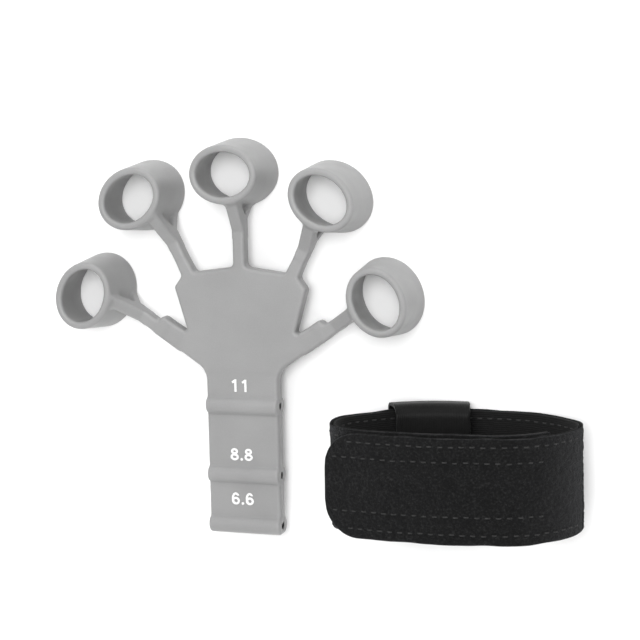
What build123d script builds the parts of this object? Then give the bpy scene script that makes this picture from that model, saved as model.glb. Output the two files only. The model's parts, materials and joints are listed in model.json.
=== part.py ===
"""Finger exerciser: a moulded silicone hand with five finger loops, and its wrist strap.

Both lie on a table. +X is right, +Y points to the fingers, +Z is up, all in millimetres.
The silicone moulding is one casting, cut here into nodes where it flexes and stretches.
The strap is a ribbon of cloth, foam and lining that overlaps itself in a flat spiral.
"""
from build123d import *
from math import cos, radians, sin, sqrt
import os

# Silicone plate: the palm, the arms and the stem share its thickness and height.
PLATE_THICKNESS = 5.5
PLATE_BOTTOM = 7.5
PLATE_MIDDLE = PLATE_BOTTOM + PLATE_THICKNESS / 2
PLATE_TOP = PLATE_BOTTOM + PLATE_THICKNESS
EDGE_RADIUS = 1.2

# Right half of the palm's outline, from the stem to the middle arm.
STEM_SHOULDER_Y, STEM_SHOULDER_RADIUS = -17.3, 3.0
LOWER_NOTCH, LOWER_NOTCH_RADIUS = (21.3, -3.0), 0.6
SIDE_CORNER, SIDE_CORNER_RADIUS = (26.3, 14.2), 1.4
UPPER_NOTCH, UPPER_NOTCH_RADIUS = (23.3, 18.4), 1.2
TOP_CORNER, TOP_CORNER_RADIUS = (18.0, 20.0), 1.2
TOP_MIDDLE_Y, TOP_MIDDLE_RADIUS = 22.1, 1.3

# Finger loops: oval tubes across the plate, wider at the back rim, which is the lower one.
LOOP_DEPTH = 21.5
LOOP_WALL = 2.7
LOOP_RIM_RADIUS = 0.9
FRONT_SEMI_AXES = (13.1, 10.9)
BACK_SEMI_AXES = (15.0, 12.9)
FRONT_RIM_SHIFT = 0.25
LOOP_LEAN = -2.4

# Arms, and the forked gussets that join them to the loops.
ARM_WIDTH = 4.9
ARM_ROOT_WIDTH = 7.4
GUSSET_LENGTH = 21.5
GUSSET_BACK_STEP = 4.2
GUSSET_FRONT_REACH = 10.0
GUSSET_BACK_REACH = 12.3
GUSSET_WEB = 1.8
GUSSET_RIB = 2.1
GUSSET_RIM_DROP = 0.8
FLEX_GAP = 0.3
STEM_FLEX_GAP = 0.7

# Each finger: side, arm angle, loop angle, loop centre, root distance along and beside the arm.
SIDE_ARM_ANGLE, SIDE_LOOP_ANGLE = 26.0, 34.3
OUTER_ARM_ANGLE, OUTER_LOOP_ANGLE = 56.0, 64.2
MIDDLE_LOOP = (0.0, 57.1)
SIDE_LOOP = (37.5, 48.0)
OUTER_LOOP = (57.7, 11.1)
MIDDLE_ROOT = (24.0, 0.0)
SIDE_ROOT = (28.3, 10.2)
OUTER_ROOT = (18.5, 18.5)
OUTER_STEP = 28.0
OUTER_ARM_SIDE = 19.95
FINGERS = {
    "thumb": (-1, OUTER_ARM_ANGLE, OUTER_LOOP_ANGLE, OUTER_LOOP, OUTER_ROOT),
    "index": (-1, SIDE_ARM_ANGLE, SIDE_LOOP_ANGLE, SIDE_LOOP, SIDE_ROOT),
    "middle": (1, 0.0, 0.0, MIDDLE_LOOP, MIDDLE_ROOT),
    "ring": (1, SIDE_ARM_ANGLE, SIDE_LOOP_ANGLE, SIDE_LOOP, SIDE_ROOT),
    "little": (1, OUTER_ARM_ANGLE, OUTER_LOOP_ANGLE, OUTER_LOOP, OUTER_ROOT),
}

# Stem: three round stop ridges, each on a cross pin, and a printed level above each ridge.
STEM_WIDTH = 28.6
STEM_HINGE_Y = -19.2
STEM_STRETCH_Y = -40.0
RIDGE_Y = (-30.4, -56.9, -76.3)
RIDGE_HALF_LENGTH = 3.4
RIDGE_HALF_HEIGHT = 4.7
RIDGE_ROUNDING = 3.2
STEM_CORE_END_Y = RIDGE_Y[2] - RIDGE_HALF_LENGTH / 2
PIN_RADIUS = 1.15
PIN_BORE_RADIUS = 1.2
PIN_RECESS = 0.5
LEVELS = {"upper": ("11", 7.8), "middle": ("8.8", 7.9), "lower": ("6.6", 10.2)}
MARK_X = -0.8
DIGIT_HEIGHT = 4.7
DIGIT_STROKE = 0.85
DIGIT_PITCH = 4.0
INK_THICKNESS = 0.15

# Strap: a ribbon on edge round the Y axis. Runs are (radius, heading in, heading out).
BAND_WIDTH = 37.7
BAND_TOP_Y = -30.3
CLOTH, FOAM = 0.5, 0.9
BAND_THICKNESS = 2 * CLOTH + FOAM
KEEPER_THICKNESS = 1.0
KEEPER_CLEARANCE = 0.1
BAND_MIDDLE_Z = KEEPER_THICKNESS + KEEPER_CLEARANCE + BAND_THICKNESS / 2
FLAT_LEFT_X, FLAT_RIGHT_X = 81.6, 96.7
LOWER_LEFT_RADIUS, LOWER_RIGHT_RADIUS = 44.4, 41.6
RIGHT_TURN_RADIUS, LEFT_TURN_RADIUS = 8.0, 15.9
UPPER_RIGHT_RADIUS, UPPER_LEFT_RADIUS = 30.0, 157.5
RIGHT_TURN_HEADING, TAIL_HEADING = 49.5, 95.3
CROWN_HEADING, TAIL_END_HEADING = 169.8, 192.4
INNER_END_HEADING = 125.0
HOOK_THICKNESS = 1.2
HOOK_WIDTH = 20.0
HOOK_HEADINGS = (136.0, 189.0)
TAIL_DROP = 0.6
TAIL_CORNER = 13.0
LAP_ROOM = 0.9
LAP = BAND_THICKNESS + HOOK_THICKNESS + LAP_ROOM

# Keeper: a webbing loop round the lower wall of the strap.
KEEPER_HEADING = 326.0
KEEPER_FLAT = 4.9
KEEPER_TUNNEL = 6.5
KEEPER_END_ROOM = 3.0
KEEPER_FOLD_RADIUS = 3.0


def mirrored(points):
    """Return right-hand outline points followed by their mirror images."""
    return points + [(-x, y) for x, y in reversed(points)]


def finger_frame(name):
    """Return the finger's arm direction, its sideways direction and its root point."""
    side, arm_angle, _, _, (along, beside) = FINGERS[name]
    direction = Vector(side * sin(radians(arm_angle)), cos(radians(arm_angle)), 0)
    sideways = Vector(side * direction.Y, -side * direction.X, 0)
    root = direction * along + sideways * beside
    return direction, sideways, root


def loop_centre(name):
    """Return the centre of the finger's loop at table height."""
    side, _, _, (x, y), _ = FINGERS[name]
    return Vector(side * x + LOOP_LEAN, y, 0)


def arm_plane(name, along, beside):
    """Return a plane whose normal runs along the finger's arm, at a station on it."""
    direction, sideways, _ = finger_frame(name)
    origin = direction * along + sideways * beside + Vector(0, 0, PLATE_MIDDLE)
    return Plane(origin=origin, x_dir=sideways, z_dir=direction)


def gusset_start(name):
    """Return how far along its arm the finger's gusset begins."""
    direction, _, _ = finger_frame(name)
    return loop_centre(name).dot(direction) - GUSSET_LENGTH


def knuckle(point, axis, radius, width):
    """Return a cylinder across the plate, about a flex line."""
    plane = Plane(origin=point, z_dir=axis)
    return plane * Cylinder(radius, width)


def corner(name, beside):
    """Return a corner of the arm's root, on its flex line."""
    direction, sideways, _ = finger_frame(name)
    point = direction * FINGERS[name][4][0] + sideways * beside
    return (point.X, point.Y)


def root_width(name):
    """Return the width of the arm at its root."""
    return ARM_ROOT_WIDTH if FINGERS[name][4] == OUTER_ROOT else ARM_WIDTH


def palm_outline():
    """Return the palm's outline, with a stub where each arm and the stem begin."""
    half_arm = ARM_WIDTH / 2
    outer = OUTER_ROOT[1]
    side = SIDE_ROOT[1]
    corners = [
        ((STEM_WIDTH / 2, STEM_HINGE_Y), 0.0),
        ((STEM_WIDTH / 2, STEM_SHOULDER_Y), STEM_SHOULDER_RADIUS),
        (corner("little", outer + ARM_ROOT_WIDTH / 2), 0.0),
        (corner("little", outer - ARM_ROOT_WIDTH / 2), 0.0),
        (LOWER_NOTCH, LOWER_NOTCH_RADIUS),
        (SIDE_CORNER, SIDE_CORNER_RADIUS),
        (UPPER_NOTCH, UPPER_NOTCH_RADIUS),
        (corner("ring", side + half_arm), 0.0),
        (corner("ring", side - half_arm), 0.0),
        (TOP_CORNER, TOP_CORNER_RADIUS),
        ((half_arm, TOP_MIDDLE_Y), TOP_MIDDLE_RADIUS),
        ((half_arm, MIDDLE_ROOT[0]), 0.0),
    ]
    right = [point for point, _ in corners]
    radii = [radius for _, radius in corners]
    return FilletPolyline(*mirrored(right), radius=radii + radii[::-1], close=True)


def make_palm():
    """Return the palm plate, grooved to clear the knuckle of each arm and of the stem."""
    plate = extrude(make_face(palm_outline()), PLATE_THICKNESS)
    faces = plate.faces().filter_by(Axis.Z)
    palm = Pos(0, 0, PLATE_BOTTOM) * fillet(faces.edges(), EDGE_RADIUS)
    groove = PLATE_THICKNESS / 2 + FLEX_GAP
    for name in FINGERS:
        _, sideways, root = finger_frame(name)
        point = root + Vector(0, 0, PLATE_MIDDLE)
        palm -= knuckle(point, sideways, groove, root_width(name) + 4 * FLEX_GAP)
    stem_groove = PLATE_THICKNESS / 2 + STEM_FLEX_GAP
    stem_point = Vector(0, STEM_HINGE_Y, PLATE_MIDDLE)
    return palm - knuckle(stem_point, Vector(1, 0, 0), stem_groove, 2 * STEM_WIDTH)


def bar(name, start, end, beside, width):
    """Return a straight length of arm with rounded long edges."""
    section = RectangleRounded(width, PLATE_THICKNESS, EDGE_RADIUS)
    return extrude(arm_plane(name, start, beside) * section, end - start)


def make_arm(name):
    """Return the arm from its knuckle to the gusset of its loop."""
    _, sideways, root = finger_frame(name)
    along, beside = FINGERS[name][4]
    end = gusset_start(name)
    width = root_width(name)
    point = root + Vector(0, 0, PLATE_MIDDLE)
    arm = knuckle(point, sideways, PLATE_THICKNESS / 2, width)
    if width > ARM_WIDTH:
        arm += bar(name, along, OUTER_STEP, beside, width)
        return arm + bar(name, OUTER_STEP, end, OUTER_ARM_SIDE, ARM_WIDTH)
    return arm + bar(name, along, end, beside, width)


def oval(semi_axes, height, shift):
    """Return one oval section of a loop, in the loop's own frame."""
    return Pos(0, shift, height) * Ellipse(*semi_axes)


def loop_solid(inset, room):
    """Return the tapered solid inside a loop's skin, longer by room at both ends."""
    taper = [(f - b) / LOOP_DEPTH for f, b in zip(FRONT_SEMI_AXES, BACK_SEMI_AXES)]
    lean = 2 * FRONT_RIM_SHIFT / LOOP_DEPTH
    sections = []
    for height in (-room, LOOP_DEPTH + room):
        axes = [b - inset + t * height for b, t in zip(BACK_SEMI_AXES, taper)]
        sections.append(oval(axes, height, lean * height - FRONT_RIM_SHIFT))
    return loft(sections)


def gusset_profile(inset):
    """Return the side view of a gusset: along the arm, then up, drawn in by inset."""
    top, bottom = PLATE_TOP, PLATE_BOTTOM
    back = GUSSET_BACK_STEP
    front_end = GUSSET_LENGTH - GUSSET_FRONT_REACH
    back_end = GUSSET_LENGTH - GUSSET_BACK_REACH
    if inset:
        low = 1.6 * inset
        high = LOOP_DEPTH - 2 * inset
        points = [
            (back + inset, (top + bottom) / 2),
            (front_end + inset, high),
            (GUSSET_LENGTH, high),
            (GUSSET_LENGTH, low),
            (back_end + inset, low),
        ]
    else:
        low = GUSSET_RIM_DROP
        high = LOOP_DEPTH - GUSSET_RIM_DROP
        points = [
            (0, bottom),
            (0, top),
            (front_end, high),
            (GUSSET_LENGTH, high),
            (GUSSET_LENGTH, low),
            (back_end, low),
            (back, bottom),
        ]
    return make_face(Polyline(*points, close=True))


def make_loop(name):
    """Return a finger loop with its forked gusset."""
    side, _, loop_angle, _, (_, beside) = FINGERS[name]
    place = Pos(*loop_centre(name)) * Rot(0, 0, -side * loop_angle)
    outside = place * loop_solid(0, 0)
    bore = place * loop_solid(LOOP_WALL, 1)
    wall = outside - bore
    rims = wall.faces().filter_by(Axis.Z).edges()
    wall = fillet(rims, LOOP_RIM_RADIUS)
    direction, sideways, _ = finger_frame(name)
    if FINGERS[name][4] == OUTER_ROOT:
        beside = OUTER_ARM_SIDE
    origin = direction * gusset_start(name) + sideways * beside
    plane = Plane(origin=origin, x_dir=direction, z_dir=direction.cross(Vector(0, 0, 1)))
    gusset = extrude(plane * gusset_profile(0), ARM_WIDTH / 2, both=True)
    pocket = extrude(plane * gusset_profile(GUSSET_RIB), ARM_WIDTH, both=True)
    web = extrude(plane * gusset_profile(0), GUSSET_WEB / 2, both=True)
    fork = (gusset - pocket) + web
    return wall + (fork - outside)


def ridge(y):
    """Return one stop ridge: a round-edged bar right across the stem."""
    section = RectangleRounded(2 * RIDGE_HALF_LENGTH, 2 * RIDGE_HALF_HEIGHT, RIDGE_ROUNDING)
    plane = Plane(origin=(-STEM_WIDTH / 2, y, PLATE_MIDDLE), x_dir=(0, 1, 0), z_dir=(1, 0, 0))
    return extrude(plane * section, STEM_WIDTH)


def stem_length(start_y, end_y):
    """Return a plain length of the stem with rounded long edges."""
    plane = Plane(origin=(0, start_y, PLATE_MIDDLE), x_dir=(1, 0, 0), z_dir=(0, -1, 0))
    section = RectangleRounded(STEM_WIDTH, PLATE_THICKNESS, EDGE_RADIUS)
    return extrude(plane * section, start_y - end_y)


def pin_line(y, radius, length):
    """Return a cylinder along a ridge's pin line."""
    return knuckle(Vector(0, y, PLATE_MIDDLE), Vector(1, 0, 0), radius, length)


def make_stem_neck():
    """Return the stem from its knuckle, past the first ridge, to the stretch line."""
    neck = stem_length(STEM_HINGE_Y, STEM_STRETCH_Y)
    neck += pin_line(STEM_HINGE_Y, PLATE_THICKNESS / 2, STEM_WIDTH)
    neck += ridge(RIDGE_Y[0])
    return neck - pin_line(RIDGE_Y[0], PIN_BORE_RADIUS, 2 * STEM_WIDTH)


def make_stem():
    """Return the stem below the stretch line, with the other two ridges."""
    stem = stem_length(STEM_STRETCH_Y, STEM_CORE_END_Y)
    for y in RIDGE_Y[1:]:
        stem += ridge(y)
    for y in RIDGE_Y[1:]:
        stem -= pin_line(y, PIN_BORE_RADIUS, 2 * STEM_WIDTH)
    return stem


def ring_stroke(radius_x, radius_y):
    """Return an oval ring of ink, centred."""
    return Ellipse(radius_x, radius_y) - Ellipse(radius_x - DIGIT_STROKE, radius_y - DIGIT_STROKE)


def digit_one():
    """Return a 1: an upright with a flag."""
    upright = Pos(0.3, 0) * Rectangle(DIGIT_STROKE, DIGIT_HEIGHT)
    flag = Pos(-0.35, DIGIT_HEIGHT / 2 - 0.75) * Rot(0, 0, 35) * Rectangle(1.5, DIGIT_STROKE)
    return upright + flag


def digit_six():
    """Return a 6: a closed bowl below an open stroke."""
    bowl = Pos(0, -0.85) * ring_stroke(1.6, 1.5)
    half = DIGIT_HEIGHT / 2
    stroke = ring_stroke(1.6, half) & (Pos(-1.2, 0) * Rectangle(2.4, DIGIT_HEIGHT))
    hook = ring_stroke(1.6, half) & (Pos(0.6, half - 0.6) * Rectangle(1.4, 1.2))
    return bowl + stroke + hook


def digit_eight():
    """Return an 8: two rings, the lower one larger."""
    lower = Pos(0, -1.0) * ring_stroke(1.65, 1.35)
    upper = Pos(0, 1.15) * ring_stroke(1.4, 1.2)
    return lower + upper


def number_sketch(text):
    """Return a flat number, centred, from plain strokes."""
    shapes = {"1": digit_one, "6": digit_six, "8": digit_eight}
    steps = [0.4 if c == "." else 1.0 for c in text]
    cursor = -sum(steps) / 2
    sketch = Sketch()
    for character, step in zip(text, steps):
        x = (cursor + step / 2) * DIGIT_PITCH
        if character == ".":
            dot = Circle(DIGIT_STROKE * 0.6)
            sketch += Pos(x, -DIGIT_HEIGHT / 2 + 0.5) * dot
        else:
            sketch += Pos(x, 0) * shapes[character]()
        cursor += step
    return sketch


def make_mark(text, y):
    """Return a printed number as thin ink on the stem's upper face."""
    place = Pos(MARK_X, y, PLATE_TOP)
    return place * extrude(number_sketch(text), INK_THICKNESS)


def turn_end(centre, radius, heading):
    """Return the point where an anticlockwise arc has the given heading."""
    angle = radians(heading)
    return (centre[0] + radius * sin(angle), centre[1] - radius * cos(angle))


def next_centre(centre, radius, heading, new_radius):
    """Return the centre of the arc that carries on from another at a heading."""
    x, z = turn_end(centre, radius, heading)
    angle = radians(heading)
    return (x - new_radius * sin(angle), z + new_radius * cos(angle))


def strap_centres():
    """Return the arc centres of the strap's section, as (x, z)."""
    lower_left = (FLAT_LEFT_X, BAND_MIDDLE_Z + LOWER_LEFT_RADIUS)
    lower_right = (FLAT_RIGHT_X, BAND_MIDDLE_Z + LOWER_RIGHT_RADIUS)
    right = next_centre(lower_right, LOWER_RIGHT_RADIUS, RIGHT_TURN_HEADING, RIGHT_TURN_RADIUS)
    upper_right = next_centre(right, RIGHT_TURN_RADIUS, TAIL_HEADING, UPPER_RIGHT_RADIUS)
    upper_left = next_centre(upper_right, UPPER_RIGHT_RADIUS, CROWN_HEADING, UPPER_LEFT_RADIUS)
    return lower_left, lower_right, right, upper_right, upper_left


def left_turn(lower_left, upper_left):
    """Return the left turn's centre and headings, tangent to the arcs beside it."""
    reach_up = UPPER_LEFT_RADIUS - LAP - LEFT_TURN_RADIUS
    reach_low = LOWER_LEFT_RADIUS - LEFT_TURN_RADIUS
    across = Vector(lower_left[0] - upper_left[0], lower_left[1] - upper_left[1], 0)
    gap = across.length
    along = (reach_up**2 - reach_low**2 + gap**2) / (2 * gap)
    rise = sqrt(reach_up**2 - along**2)
    unit = across.normalized()
    normal = Vector(-unit.Y, unit.X, 0)
    point = Vector(*upper_left, 0) + unit * along + normal * rise
    from_top = point - Vector(*upper_left, 0)
    from_low = point - Vector(*lower_left, 0)
    start = (90 + Vector(1, 0, 0).get_signed_angle(from_top, Vector(0, 0, 1))) % 360
    end = (90 + Vector(1, 0, 0).get_signed_angle(from_low, Vector(0, 0, 1))) % 360
    return (point.X, point.Y), start, end


def strap_runs():
    """Return the runs of the loop and of the tail: (centre, radius, heading in, out)."""
    lower_left, lower_right, right, upper_right, upper_left = strap_centres()
    left, left_in, left_out = left_turn(lower_left, upper_left)
    loop = [
        (upper_right, UPPER_RIGHT_RADIUS - LAP, INNER_END_HEADING, CROWN_HEADING),
        (upper_left, UPPER_LEFT_RADIUS - LAP, CROWN_HEADING, left_in),
        (left, LEFT_TURN_RADIUS, left_in, left_out),
        (lower_left, LOWER_LEFT_RADIUS, left_out, 360),
        (lower_right, LOWER_RIGHT_RADIUS, 0, RIGHT_TURN_HEADING),
        (right, RIGHT_TURN_RADIUS, RIGHT_TURN_HEADING, TAIL_HEADING),
    ]
    tail = [
        (upper_right, UPPER_RIGHT_RADIUS, TAIL_HEADING, CROWN_HEADING),
        (upper_left, UPPER_LEFT_RADIUS, CROWN_HEADING, TAIL_END_HEADING),
    ]
    return loop, tail


def offset_chain(runs, offset):
    """Return the edges of a chain of runs, moved outwards by offset."""
    edges = []
    for centre, radius, start, end in runs:
        arc = CenterArc(centre, radius + offset, start - 90, end - start)
        if edges and (edges[-1] @ 1 - arc @ 0).length > 0.01:
            edges.append(Line(edges[-1] @ 1, arc @ 0))
        edges.append(arc)
    return edges


def ribbon(runs, low, high, top_y, width):
    """Return the ribbon between two offsets of a chain of runs, standing along Y."""
    outer = offset_chain(runs, high)
    inner = offset_chain(runs, low)
    caps = [Line(outer[-1] @ 1, inner[-1] @ 1), Line(inner[0] @ 0, outer[0] @ 0)]
    face = make_face(outer + inner + caps)
    return extrude(Plane.XZ.offset(-top_y) * face, width)


def layer(runs, index, top_y, width):
    """Return one layer of the strap: 0 is the lining, 1 the foam, 2 the outer cloth."""
    limits = (-BAND_THICKNESS / 2, -FOAM / 2, FOAM / 2, BAND_THICKNESS / 2)
    return ribbon(runs, limits[index], limits[index + 1], top_y, width)


def rounded_end(runs, solid):
    """Round the two corners of the tail's free end."""
    centre, radius, _, heading = runs[-1]
    tip = turn_end(centre, radius, heading)
    top_y = BAND_TOP_Y - TAIL_DROP
    block = Pos(tip[0], top_y - BAND_WIDTH / 2, tip[1])
    size = TAIL_CORNER
    corners = block * Box(2 * size, 2 * BAND_WIDTH, 8 * BAND_THICKNESS)
    room = RectangleRounded(6 * size, BAND_WIDTH, size - 0.1)
    kept = block * Pos(3 * size, 0, 0) * extrude(room, 4 * BAND_THICKNESS, both=True)
    return solid - (corners - kept)


def keeper_runs():
    """Return the stretch of the strap's lower wall that the keeper goes round."""
    lower_left = strap_centres()[0]
    return [(lower_left, LOWER_LEFT_RADIUS, KEEPER_HEADING, 360)]


def keeper_ribbon(low, high, room):
    """Return the space round the lower wall between two offsets, room past each edge."""
    face_edges = []
    for offset in (low, high):
        chain = offset_chain(keeper_runs(), offset)
        end = chain[-1] @ 1
        chain.append(Line(end, end + Vector(KEEPER_FLAT, 0, 0)))
        face_edges.append(chain)
    lower, upper = face_edges
    caps = [Line(lower[0] @ 0, upper[0] @ 0), Line(lower[-1] @ 1, upper[-1] @ 1)]
    face = make_face(lower + upper + caps)
    return extrude(Plane.XZ.offset(-(BAND_TOP_Y + room)) * face, BAND_WIDTH + 2 * room)


def rounded_folds(ribbon_solid, radius):
    """Round the long edges where the webbing folds over the edges of the strap."""
    ends = ribbon_solid.faces().filter_by(Axis.Y)
    folds = [edge for edge in ends.edges() if edge.length > KEEPER_TUNNEL * 0.5]
    return fillet(folds, radius)


def make_keeper():
    """Return the keeper, a flattened webbing loop with room for slack on the inner side."""
    inside = -(BAND_THICKNESS / 2 + KEEPER_TUNNEL)
    outside = BAND_THICKNESS / 2 + KEEPER_CLEARANCE
    skin = KEEPER_THICKNESS
    shell = keeper_ribbon(inside - skin, outside + skin, KEEPER_END_ROOM)
    hollow = keeper_ribbon(inside, outside, KEEPER_END_ROOM - skin)
    return rounded_folds(shell, KEEPER_FOLD_RADIUS) - rounded_folds(hollow, KEEPER_FOLD_RADIUS - skin)


def write(parts):
    """Centre the parts over the origin, stand them on Z 0 and write each one."""
    os.makedirs("parts", exist_ok=True)
    boxes = [part.bounding_box() for part in parts.values()]
    low = Vector(*(min(tuple(box.min)[axis] for box in boxes) for axis in range(3)))
    high = Vector(*(max(tuple(box.max)[axis] for box in boxes) for axis in range(3)))
    shift = Vector(-(low.X + high.X) / 2, -(low.Y + high.Y) / 2, -low.Z)
    print("shift:", shift, "size:", high - low)
    for name, part in parts.items():
        export_step(Pos(*shift) * part, f"parts/{name}.step")


def main():
    parts = {"palm_plate": make_palm()}
    for name in FINGERS:
        parts[f"{name}_arm"] = make_arm(name)
        parts[f"{name}_loop"] = make_loop(name)
    parts["stem_neck"] = make_stem_neck()
    parts["stem"] = make_stem()
    for y, (place, (text, rise)) in zip(RIDGE_Y, LEVELS.items()):
        parts[f"{place}_ridge_pin"] = pin_line(y, PIN_RADIUS, STEM_WIDTH - 2 * PIN_RECESS)
        parts[f"{place}_level_mark"] = make_mark(text, y + rise)
    loop, tail = strap_runs()
    tail_y = BAND_TOP_Y - TAIL_DROP
    for index, cloth in enumerate(("lining", "foam", "cloth")):
        parts[f"strap_{cloth}"] = layer(loop, index, BAND_TOP_Y, BAND_WIDTH)
        parts[f"tail_{cloth}"] = rounded_end(tail, layer(tail, index, tail_y, BAND_WIDTH))
    upper_right, upper_left = strap_centres()[3:]
    hook = [
        (upper_right, UPPER_RIGHT_RADIUS, HOOK_HEADINGS[0], CROWN_HEADING),
        (upper_left, UPPER_LEFT_RADIUS, CROWN_HEADING, HOOK_HEADINGS[1]),
    ]
    hook_low = -BAND_THICKNESS / 2 - HOOK_THICKNESS
    hook_y = tail_y - (BAND_WIDTH - HOOK_WIDTH) / 2
    parts["tail_hook_patch"] = ribbon(hook, hook_low, -BAND_THICKNESS / 2, hook_y, HOOK_WIDTH)
    parts["keeper_loop"] = make_keeper()
    write(parts)


main()
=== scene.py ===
"""Finger exerciser: the looks of a moulded silicone hand and of its hook and loop wrist strap.

Everything is in the row frame. Shapes are worked out in millimetres and turned to metres as
they become meshes. The silicone is one smooth distance field, meshed once and then divided
where it bends and stretches. The strap is a set of ribbons along one chain of arcs.
"""
import json
from math import cos, degrees, pi, radians, sin, sqrt

import bpy
import numpy as np
from mathutils import Matrix, Vector

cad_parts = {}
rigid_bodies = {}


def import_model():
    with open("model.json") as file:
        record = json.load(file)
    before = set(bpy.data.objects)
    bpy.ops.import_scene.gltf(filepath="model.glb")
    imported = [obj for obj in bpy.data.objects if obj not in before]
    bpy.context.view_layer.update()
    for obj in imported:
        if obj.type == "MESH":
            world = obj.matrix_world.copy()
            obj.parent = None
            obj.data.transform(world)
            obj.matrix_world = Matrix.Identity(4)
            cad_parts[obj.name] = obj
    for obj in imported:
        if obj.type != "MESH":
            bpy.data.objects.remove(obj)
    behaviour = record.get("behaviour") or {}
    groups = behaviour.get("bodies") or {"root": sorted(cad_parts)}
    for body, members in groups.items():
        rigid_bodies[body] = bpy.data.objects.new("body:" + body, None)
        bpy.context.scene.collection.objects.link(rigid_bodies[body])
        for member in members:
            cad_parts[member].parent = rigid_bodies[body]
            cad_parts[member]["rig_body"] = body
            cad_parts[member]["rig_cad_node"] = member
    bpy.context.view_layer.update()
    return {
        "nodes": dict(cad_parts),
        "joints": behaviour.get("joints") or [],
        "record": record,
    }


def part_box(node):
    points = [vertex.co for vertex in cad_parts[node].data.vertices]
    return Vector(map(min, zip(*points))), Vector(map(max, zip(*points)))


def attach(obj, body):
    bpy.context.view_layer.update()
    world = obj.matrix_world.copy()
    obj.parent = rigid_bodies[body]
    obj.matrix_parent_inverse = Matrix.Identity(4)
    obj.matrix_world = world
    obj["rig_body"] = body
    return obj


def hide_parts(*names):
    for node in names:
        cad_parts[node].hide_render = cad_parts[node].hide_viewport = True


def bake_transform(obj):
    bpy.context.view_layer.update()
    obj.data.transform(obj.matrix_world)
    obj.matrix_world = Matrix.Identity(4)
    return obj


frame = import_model()
MM = 0.001

# ---------------------------------------------------------------- places read from the frame
JOINTS = {joint["name"]: joint for joint in frame["joints"]}
OPENINGS = {item["name"]: item for item in frame["record"]["physics"]["openings"]}
FINGERS = ("thumb", "index", "middle", "ring", "little")
OUTER_FINGERS = ("thumb", "little")
PLACES = ("upper", "middle", "lower")
ORIGIN_X = JOINTS["stem_bend"]["pos_m"][0] / MM
STEM_HINGE_Y = JOINTS["stem_bend"]["pos_m"][1] / MM
HINGE_BELOW_ORIGIN = 19.2
ORIGIN_Y = STEM_HINGE_Y + HINGE_BELOW_ORIGIN

# ---------------------------------------------------------------- the silicone moulding, in mm
PLATE_THICKNESS = 5.5
PLATE_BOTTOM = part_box("palm_plate")[0].z / MM
PLATE_MIDDLE = PLATE_BOTTOM + PLATE_THICKNESS / 2
PLATE_EDGE = 1.3
LOOP_DEPTH = 21.5
LOOP_WALL = 2.7
LOOP_RIM = 1.15
FRONT_AXES = (13.1, 10.9)
BACK_AXES = (15.0, 12.9)
FRONT_RIM_SHIFT = 0.25
LOOP_ANGLES = {"thumb": 64.2, "index": 34.3, "middle": 0.0, "ring": -34.3, "little": -64.2}
ARM_WIDTH = 4.9
ROOT_WIDTH = 7.4
OUTER_STEP = 9.5
OUTER_ARM_SHIFT = 1.45
STEP_ROUNDING, STEP_FILLET = 1.7, 1.6
PLAN_CORNER = 0.4
ARM_OVERLAP = 4.0
GUSSET_LENGTH = 21.5
GUSSET_BACK_STEP = 4.2
GUSSET_FRONT_REACH = 10.0
GUSSET_BACK_REACH = 12.3
GUSSET_WEB = 1.8
GUSSET_RIB = 2.1
GUSSET_RIM_DROP = 1.3
GUSSET_TAIL, GUSSET_NOSE = 3.0, 5
GUSSET_ROUNDING, POCKET_EDGE, WEB_INSET, WEB_FILLET = 0.9, 0.8, 1.0, 0.9
POCKET_LOW_RIBS = 1.6
LOOP_FILLET, JOIN_FILLET = 1.6, 0.3
STEM_WIDTH = 28.6
STEM_FROM_HINGE, STEM_INTO_RIDGE = 4.0, 1.0
RIDGE_HALF_LENGTH, RIDGE_HALF_HEIGHT = 3.4, 4.7
RIDGE_ROUNDING = 3.2
RIDGE_EDGE, RIDGE_FILLET = 1.0, 0.35
PIN_BORE, PIN_ROOM = 1.5, 0.06
PIN_SINK, PIN_ROUND = 0.3, 0.25
STEM_WINDOW = 18
VOXEL = 0.42

# Where the moulding is divided, and where it bends and stretches, along each arm from its root.
BEND_FROM, BEND_TO = -1.0, 4.2
SEAM = 4.6
ROOT_MARGIN, LOOP_SIDE = 0.7, 6.5


class Field:
    """A signed distance on a regular grid, in mm, joined from shapes a window at a time."""

    def __init__(self, low, high, step):
        self.low = np.array(low, float)
        self.step = step
        self.count = np.ceil((np.array(high) - self.low) / step).astype(int) + 1
        self.value = np.full(self.count, 9.0, np.float32)

    def window(self, low, high):
        """Return the slices of a box, and its points' coordinates as three open arrays."""
        first = np.floor((np.array(low) - self.low) / self.step).astype(int)
        last = np.ceil((np.array(high) - self.low) / self.step).astype(int) + 1
        first = np.clip(first, 0, self.count)
        last = np.clip(last, 0, self.count)
        cut = tuple(slice(a, b) for a, b in zip(first, last))
        axes = [self.low[k] + self.step * np.arange(first[k], last[k]) for k in range(3)]
        grid = np.meshgrid(*axes, indexing="ij", sparse=True)
        return cut, grid

    def add(self, low, high, shape, fillet):
        """Join a shape, a function of x, y and z, with a fillet where it meets the rest."""
        cut, (x, y, z) = self.window(low, high)
        self.value[cut] = smooth_min(self.value[cut], shape(x, y, z), fillet)

    def carve(self, low, high, shape, edge):
        """Take a shape away, with rounded edges."""
        cut, (x, y, z) = self.window(low, high)
        self.value[cut] = -smooth_min(-self.value[cut], shape(x, y, z), edge)


def smooth_min(a, b, radius):
    """Return the smaller of two distances, blended where they are about equal."""
    if radius <= 0:
        return np.minimum(a, b)
    mix = np.maximum(radius - np.abs(a - b), 0) / radius
    return np.minimum(a, b) - mix * mix * radius / 4


def rounded_pair(u, v, radius):
    """Return the distance to the corner where two slabs cross, rounded by a radius."""
    u = u + radius
    v = v + radius
    outside = np.sqrt(np.maximum(u, 0) ** 2 + np.maximum(v, 0) ** 2)
    return outside + np.minimum(np.maximum(u, v), 0) - radius


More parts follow.
